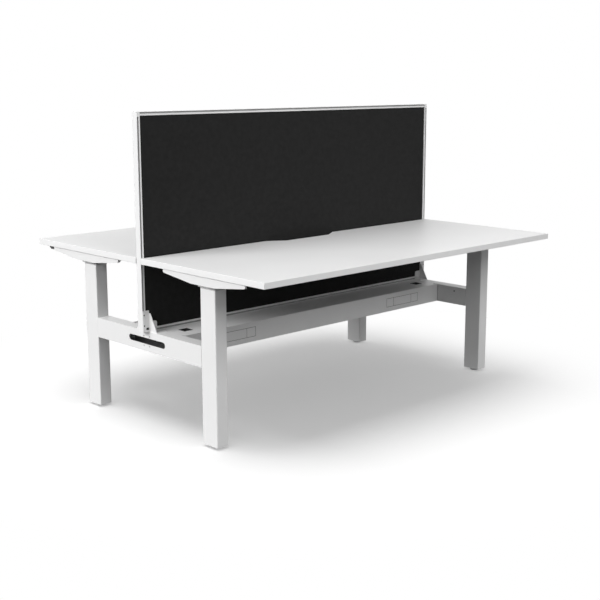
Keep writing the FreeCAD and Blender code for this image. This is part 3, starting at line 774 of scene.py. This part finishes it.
floor_size = 40.0
floor_bounce = 0.34
floor_glow = 0.285
fade_start = 0.7
fade_end = 1.9
bpy.ops.mesh.primitive_plane_add(size=floor_size, location=(0, 0, 0))
floor = added("studio_floor")
floor_paint = bpy.data.materials.new("white studio floor")
floor_paint.use_nodes = True
tree = floor_paint.node_tree
tree.nodes.remove(tree.nodes["Principled BSDF"])
matt = tree.nodes.new("ShaderNodeBsdfDiffuse")
floor_shade = tree.nodes.new("ShaderNodeMapRange")
floor_shade.inputs["To Min"].default_value = floor_bounce
glow = tree.nodes.new("ShaderNodeEmission")
glow_level = tree.nodes.new("ShaderNodeMath")
glow_level.operation = "MULTIPLY"
glow_level.inputs[1].default_value = floor_glow
lit = tree.nodes.new("ShaderNodeAddShader")
surround = tree.nodes.new("ShaderNodeEmission")
surround_level = seen_directly(tree)
far_mix = tree.nodes.new("ShaderNodeMixShader")
place = tree.nodes.new("ShaderNodeTexCoord")
reach = tree.nodes.new("ShaderNodeVectorMath")
reach.operation = "LENGTH"
fade = tree.nodes.new("ShaderNodeMapRange")
fade.interpolation_type = "SMOOTHSTEP"
fade.inputs["From Min"].default_value = fade_start
fade.inputs["From Max"].default_value = fade_end
tree.links.new(surround_level, floor_shade.inputs["Value"])
tree.links.new(floor_shade.outputs["Result"], matt.inputs["Color"])
tree.links.new(surround_level, glow_level.inputs[0])
tree.links.new(glow_level.outputs["Value"], glow.inputs["Strength"])
tree.links.new(matt.outputs["BSDF"], lit.inputs[0])
tree.links.new(glow.outputs["Emission"], lit.inputs[1])
tree.links.new(surround_level, surround.inputs["Strength"])
tree.links.new(place.outputs["Object"], reach.inputs[0])
tree.links.new(reach.outputs["Value"], fade.inputs["Value"])
tree.links.new(fade.outputs["Result"], far_mix.inputs["Fac"])
tree.links.new(lit.outputs["Shader"], far_mix.inputs[1])
tree.links.new(surround.outputs["Emission"], far_mix.inputs[2])
tree.links.new(far_mix.outputs["Shader"], tree.nodes["Material Output"].inputs["Surface"])
painted(floor, floor_paint)

fill_level = 0.32
world = bpy.data.worlds.new("white studio")
world.use_nodes = True
bpy.context.scene.world = world
tree = world.node_tree
fill = tree.nodes["Background"]
fill.inputs["Color"].default_value = (1, 1, 1, 1)
fill.inputs["Strength"].default_value = fill_level
backdrop = tree.nodes.new("ShaderNodeBackground")
backdrop.inputs["Color"].default_value = (1, 1, 1, 1)
backdrop.inputs["Strength"].default_value = 1
choice = tree.nodes.new("ShaderNodeMixShader")
tree.links.new(seen_directly(tree), choice.inputs["Fac"])
tree.links.new(fill.outputs["Background"], choice.inputs[1])
tree.links.new(backdrop.outputs["Background"], choice.inputs[2])
tree.links.new(choice.outputs["Shader"], tree.nodes["World Output"].inputs["Surface"])


def soft_light(name, place, width, height, power, aim=(0, 0, 0.5), kept_off=(), kept_to=(), shine=True):
    """A large rectangular lamp that faces a point, kept off or to some objects, with or without shine."""
    lamp = bpy.data.lights.new(name, "AREA")
    lamp.shape = "RECTANGLE"
    lamp.size = width
    lamp.size_y = height
    lamp.energy = power
    holder = bpy.data.objects.new(name, lamp)
    bpy.context.collection.objects.link(holder)
    holder.location = place
    holder.visible_glossy = shine
    holder.rotation_euler = (holder.location - Vector(aim)).to_track_quat("Z", "Y").to_euler()
    flags = bpy.data.collections.new(name + " flags")
    holder.light_linking.receiver_collection = flags
    for flag, piece in enumerate((*kept_off, *kept_to)):
        flags.objects.link(piece)
        flags.collection_objects[flag].light_linking.link_state = "EXCLUDE" if kept_off else "INCLUDE"


soft_light("left soft light", place=(-8.2, 1.0, 4.6), width=7.5, height=2.6, power=735,
           kept_off=[floor, tray])
soft_light("overhead soft light", place=(-3.4, 1.5, 7.6), width=3.0, height=3.0, power=40, kept_off=[floor])
soft_light("front soft light", place=(-0.3, -4.6, 3.6), width=4.0, height=3.0, power=146, kept_off=[floor])
soft_light("rear soft light", place=(5.2, 6.8, 2.2), width=6.0, height=1.8, power=340, kept_off=[floor],
           shine=False)
soft_light("floor soft light", place=(-0.9, 0.1, 4.5), aim=(0, 0, 0), width=4.0, height=4.0, power=165,
           kept_to=[floor])


# Camera: a short telephoto at the left front corner, a little above the screen, turned and tilted
# towards the middle of the workstation.

camera_place = (-3.4663, -3.6285, 1.4466)
camera_yaw = math.radians(44.379)
camera_tilt = math.radians(10.86)
focal_length = 65.42
view_shift = (-0.01782, -0.02367)
camera = bpy.data.cameras.new("camera")
camera.sensor_width = 36
camera.lens = focal_length
camera.shift_x, camera.shift_y = view_shift
holder = bpy.data.objects.new("camera", camera)
bpy.context.collection.objects.link(holder)
holder.location = camera_place
holder.rotation_euler = (math.pi / 2 - camera_tilt, 0, -camera_yaw)
bpy.context.scene.camera = holder
bpy.context.scene.view_settings.view_transform = "Standard"
